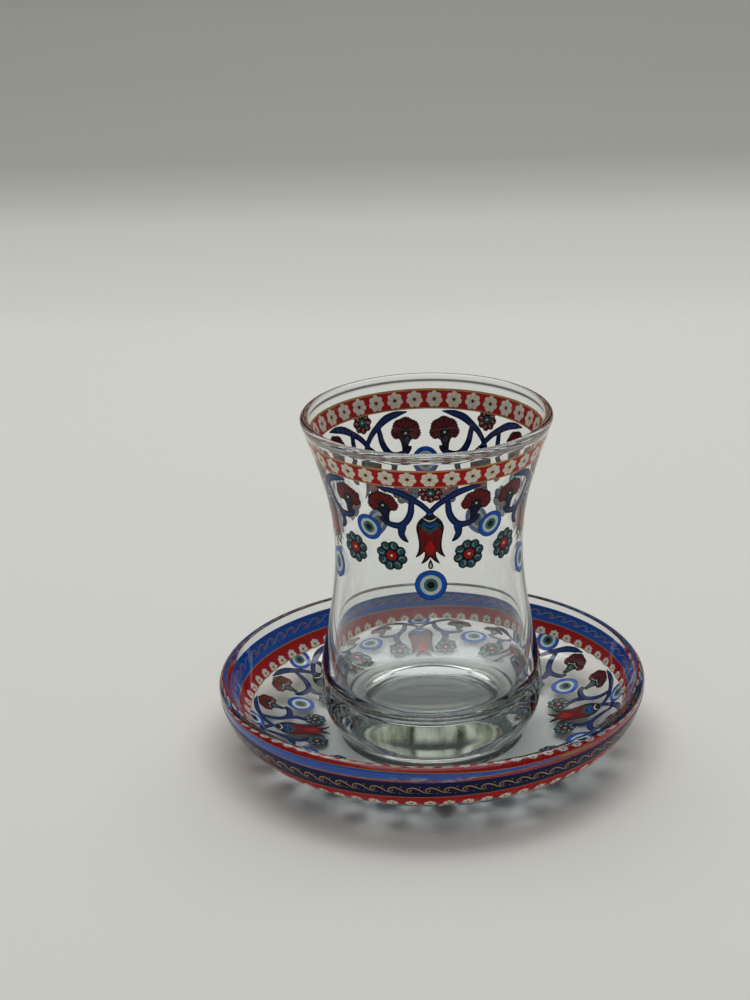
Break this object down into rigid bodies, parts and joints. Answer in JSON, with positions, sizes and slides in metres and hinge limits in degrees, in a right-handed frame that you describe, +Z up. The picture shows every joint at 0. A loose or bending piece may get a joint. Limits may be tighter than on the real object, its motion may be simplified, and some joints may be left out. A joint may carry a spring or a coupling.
{
  "type": "turkish tea glass with saucer",
  "caption": "Waisted clear tea glass with a flared mouth and thick base, standing in a dished glass saucer, both with enamelled floral bands.",
  "frame": {"origin": "middle of the saucer's foot, on the surface it stands on", "axes": "+Z up along the common axis of the glass and the saucer; the camera's side is -Y"},
  "size_m": [0.11, 0.11, 0.0904],
  "materials": {
    "clear_glass": "polished, clear, faintly grey at the edges",
    "saucer_glass": "polished, clear, faintly grey at the edges",
    "red_enamel": "fired enamel, glossy",
    "blue_enamel": "fired enamel, glossy",
    "cream_enamel": "fired enamel, glossy",
    "teal_enamel": "fired enamel, glossy",
    "dark_enamel": "fired enamel, glossy",
    "gold_enamel": "fired gold-coloured enamel, glossy"
  },
  "bodies": {
    "root": {"glass": "clear_glass", "saucer": "saucer_glass"}
  },
  "joints": []
}
